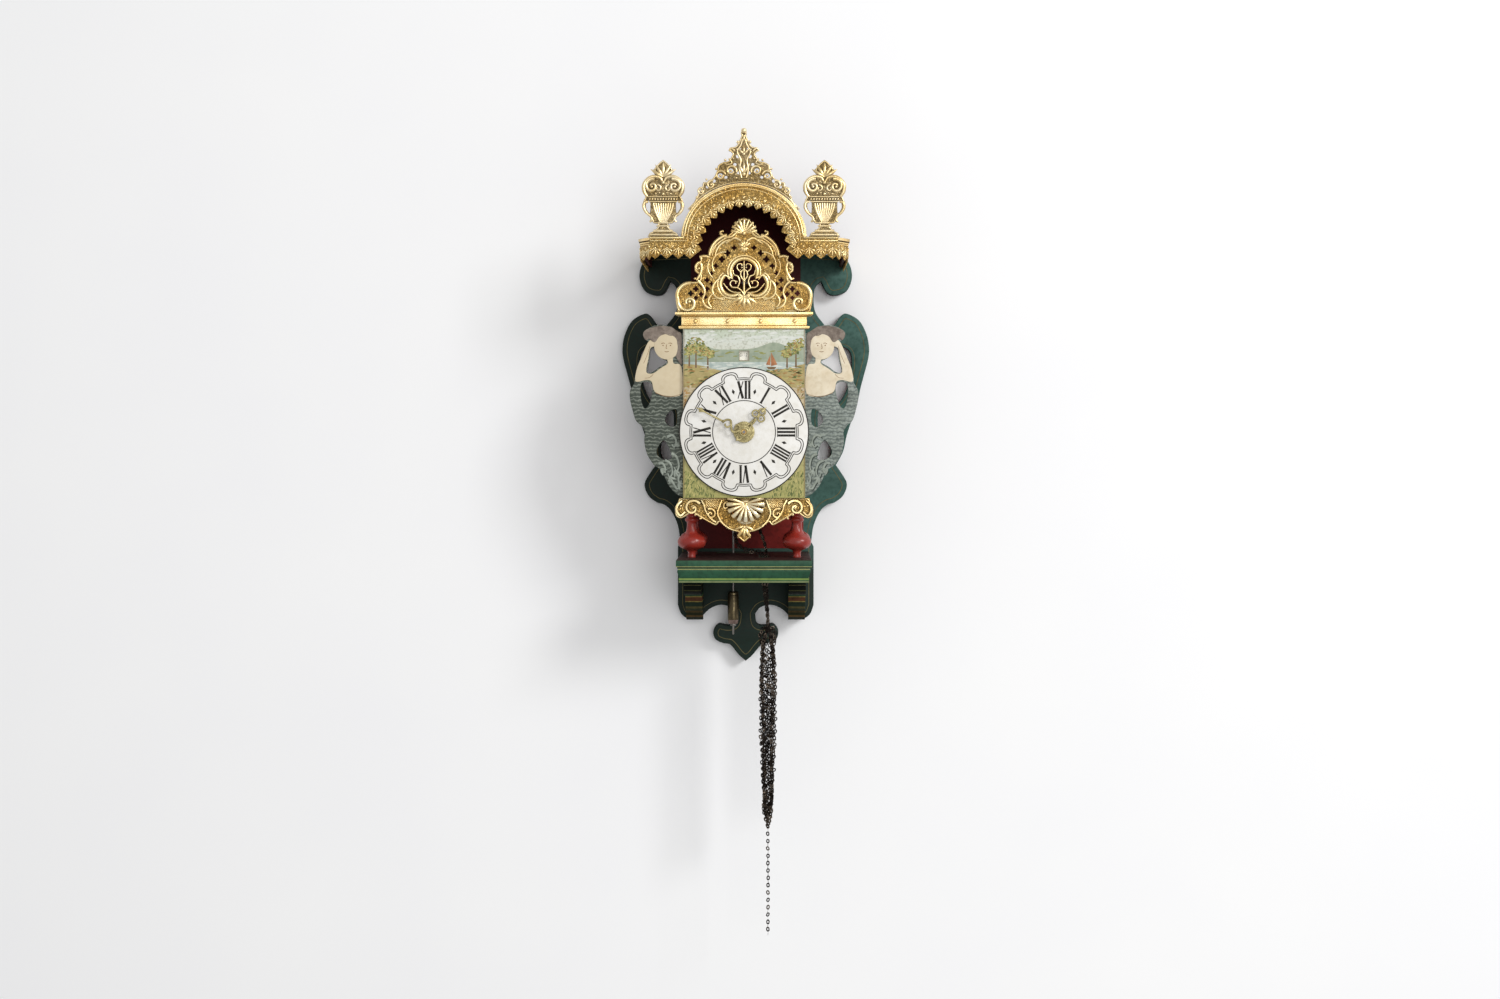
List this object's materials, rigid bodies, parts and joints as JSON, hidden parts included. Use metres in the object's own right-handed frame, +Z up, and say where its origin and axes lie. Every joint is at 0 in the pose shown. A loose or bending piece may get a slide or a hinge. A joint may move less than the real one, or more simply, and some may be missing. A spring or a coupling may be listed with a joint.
{
  "type": "stool clock",
  "caption": "Wall-held Dutch stool clock: pierced board, shelf on brackets, arched hood, posted movement, dial with hands, pendulum and a bundled chain.",
  "frame": {"origin": "on the back face of the backboard, on its centre line, at the height of the hand arbor", "axes": "+Z up along the clock, +Y into the wall, so the dial faces -Y and +X is the viewer's right"},
  "size_m": [0.356, 0.1981, 1.1023],
  "materials": {
    "painted_board": "satin oil paint",
    "red_paint": "satin oil paint",
    "gilt_lead": "worn gilding on cast lead",
    "painted_panel": "oil paint on thin board",
    "painted_dial": "oil paint on sheet iron",
    "chapter_enamel": "pale oil paint",
    "date_paper": "matte",
    "brass": "worn satin",
    "iron": "forged, dark",
    "chain_iron": "dark drawn wire"
  },
  "bodies": {
    "clock_body": {"backboard": "painted_board", "stool_shelf": "painted_board", "shelf_moulding": "painted_board", "bracket_left": "painted_board", "bracket_right": "painted_board", "hood_roof": "red_paint", "hood_front": "red_paint", "case_floor": "red_paint", "case_top": "red_paint", "foot_front_left": "red_paint", "foot_front_right": "red_paint", "foot_back_left": "red_paint", "foot_back_right": "red_paint", "crest_fret": "gilt_lead", "apron_fret": "gilt_lead", "crest_finial": "gilt_lead", "urn_left": "gilt_lead", "urn_right": "gilt_lead", "canopy_fret": "gilt_lead", "canopy_return_left": "gilt_lead", "canopy_return_right": "gilt_lead", "dial_ledge": "gilt_lead", "mermaid_left": "painted_panel", "mermaid_right": "painted_panel", "dial_plate": "painted_dial", "chapter_ring": "chapter_enamel", "bell": "brass", "front_bar": "iron", "middle_bar": "iron", "back_bar": "iron", "bell_post": "iron", "pendulum_cock": "iron", "post_front_left": "iron", "post_front_right": "iron", "post_back_left": "iron", "post_back_right": "iron", "chain_going": "chain_iron", "chain_strike": "chain_iron", "chain_hank": "chain_iron", "chain_tail": "chain_iron"},
    "going_great_wheel": {"going_great_wheel": "iron"},
    "contrate": {"contrate_wheel": "iron"},
    "crown": {"crown_wheel": "iron"},
    "verge_arbor": {"verge": "iron"},
    "minute": {"minute_wheel": "brass", "minute_hand": "brass"},
    "step": {"step_wheel": "brass"},
    "hour": {"hour_wheel": "brass", "hour_hand": "brass"},
    "alarm": {"alarm_disc": "brass"},
    "date": {"date_disc": "date_paper"},
    "strike_great": {"strike_great_wheel": "iron"},
    "strike_second": {"strike_second_wheel": "iron"},
    "fly_arbor": {"fly": "brass"},
    "count": {"count_wheel": "brass"},
    "hammer_arbor": {"hammer": "iron"},
    "door_left": {"side_door_left": "red_paint"},
    "door_right": {"side_door_right": "red_paint"},
    "pendulum": {"pendulum_rod": "iron", "pendulum_bob": "brass"}
  },
  "joints": [
    {"name": "going_spin", "type": "hinge", "parent": "clock_body", "child": "going_great_wheel", "pos_m": [0, -0.13, -0.034], "axis": [0, -1, 0], "continuous": true},
    {"name": "contrate_spin", "type": "hinge", "parent": "clock_body", "child": "contrate", "pos_m": [0, -0.13, 0.0122], "axis": [0, -1, 0], "continuous": true},
    {"name": "crown_spin", "type": "hinge", "parent": "clock_body", "child": "crown", "pos_m": [0, -0.12693, 0.05], "axis": [0, 0, 1], "continuous": true},
    {"name": "verge_rock", "type": "hinge", "parent": "clock_body", "child": "verge_arbor", "pos_m": [0, -0.1, 0.084], "axis": [0, 1, 0], "range_deg": [-3.5, 3.5]},
    {"name": "minute_turn", "type": "hinge", "parent": "clock_body", "child": "minute", "pos_m": [0, -0.17, 0], "axis": [0, -1, 0], "continuous": true},
    {"name": "step_spin", "type": "hinge", "parent": "clock_body", "child": "step", "pos_m": [0, -0.158, 0.022], "axis": [0, -1, 0], "continuous": true},
    {"name": "hour_turn", "type": "hinge", "parent": "clock_body", "child": "hour", "pos_m": [0, -0.17, 0], "axis": [0, -1, 0], "continuous": true},
    {"name": "alarm_set", "type": "hinge", "parent": "hour", "child": "alarm", "pos_m": [0, -0.18, 0], "axis": [0, -1, 0], "continuous": true},
    {"name": "date_turn", "type": "hinge", "parent": "clock_body", "child": "date", "pos_m": [0, -0.17, 0.088], "axis": [0, -1, 0], "continuous": true},
    {"name": "strike_spin", "type": "hinge", "parent": "clock_body", "child": "strike_great", "pos_m": [0, -0.095, -0.034], "axis": [0, -1, 0], "continuous": true},
    {"name": "strike_second_spin", "type": "hinge", "parent": "clock_body", "child": "strike_second", "pos_m": [0, -0.09, 0.0122], "axis": [0, -1, 0], "continuous": true},
    {"name": "fly_spin", "type": "hinge", "parent": "clock_body", "child": "fly_arbor", "pos_m": [0, -0.1, 0.041], "axis": [0, -1, 0], "continuous": true},
    {"name": "count_turn", "type": "hinge", "parent": "clock_body", "child": "count", "pos_m": [0, -0.067, 0.008], "axis": [0, -1, 0], "continuous": true},
    {"name": "hammer_lift", "type": "hinge", "parent": "clock_body", "child": "hammer_arbor", "pos_m": [0.049, -0.09, 0.027], "axis": [0, 1, 0], "range_deg": [0, 8], "stiffness_Nm_per_rad": 0.06, "springref_deg": -11.46},
    {"name": "door_left_swing", "type": "hinge", "parent": "clock_body", "child": "door_left", "pos_m": [-0.0821, -0.0646, 0.025], "axis": [0, 0, -1], "range_deg": [0, 95]},
    {"name": "door_right_swing", "type": "hinge", "parent": "clock_body", "child": "door_right", "pos_m": [0.0821, -0.0646, 0.025], "axis": [0, 0, 1], "range_deg": [0, 95]},
    {"name": "pendulum_swing", "type": "hinge", "parent": "clock_body", "child": "pendulum", "pos_m": [-0.0175, -0.0403, 0.084], "axis": [0, 1, 0], "range_deg": [-3, 3]}
  ],
  "couplings": [
    {"joint": "contrate_spin", "follows": "going_spin", "ratio": -4.5},
    {"joint": "crown_spin", "follows": "going_spin", "ratio": 18},
    {"joint": "minute_turn", "follows": "going_spin", "ratio": -1},
    {"joint": "step_spin", "follows": "going_spin", "ratio": 0.33333},
    {"joint": "hour_turn", "follows": "going_spin", "ratio": -0.083333},
    {"joint": "strike_second_spin", "follows": "strike_spin", "ratio": -4.5},
    {"joint": "fly_spin", "follows": "strike_spin", "ratio": 15.75},
    {"joint": "count_turn", "follows": "strike_spin", "ratio": -0.25},
    {"joint": "verge_rock", "follows": "pendulum_swing", "ratio": 1}
  ]
}
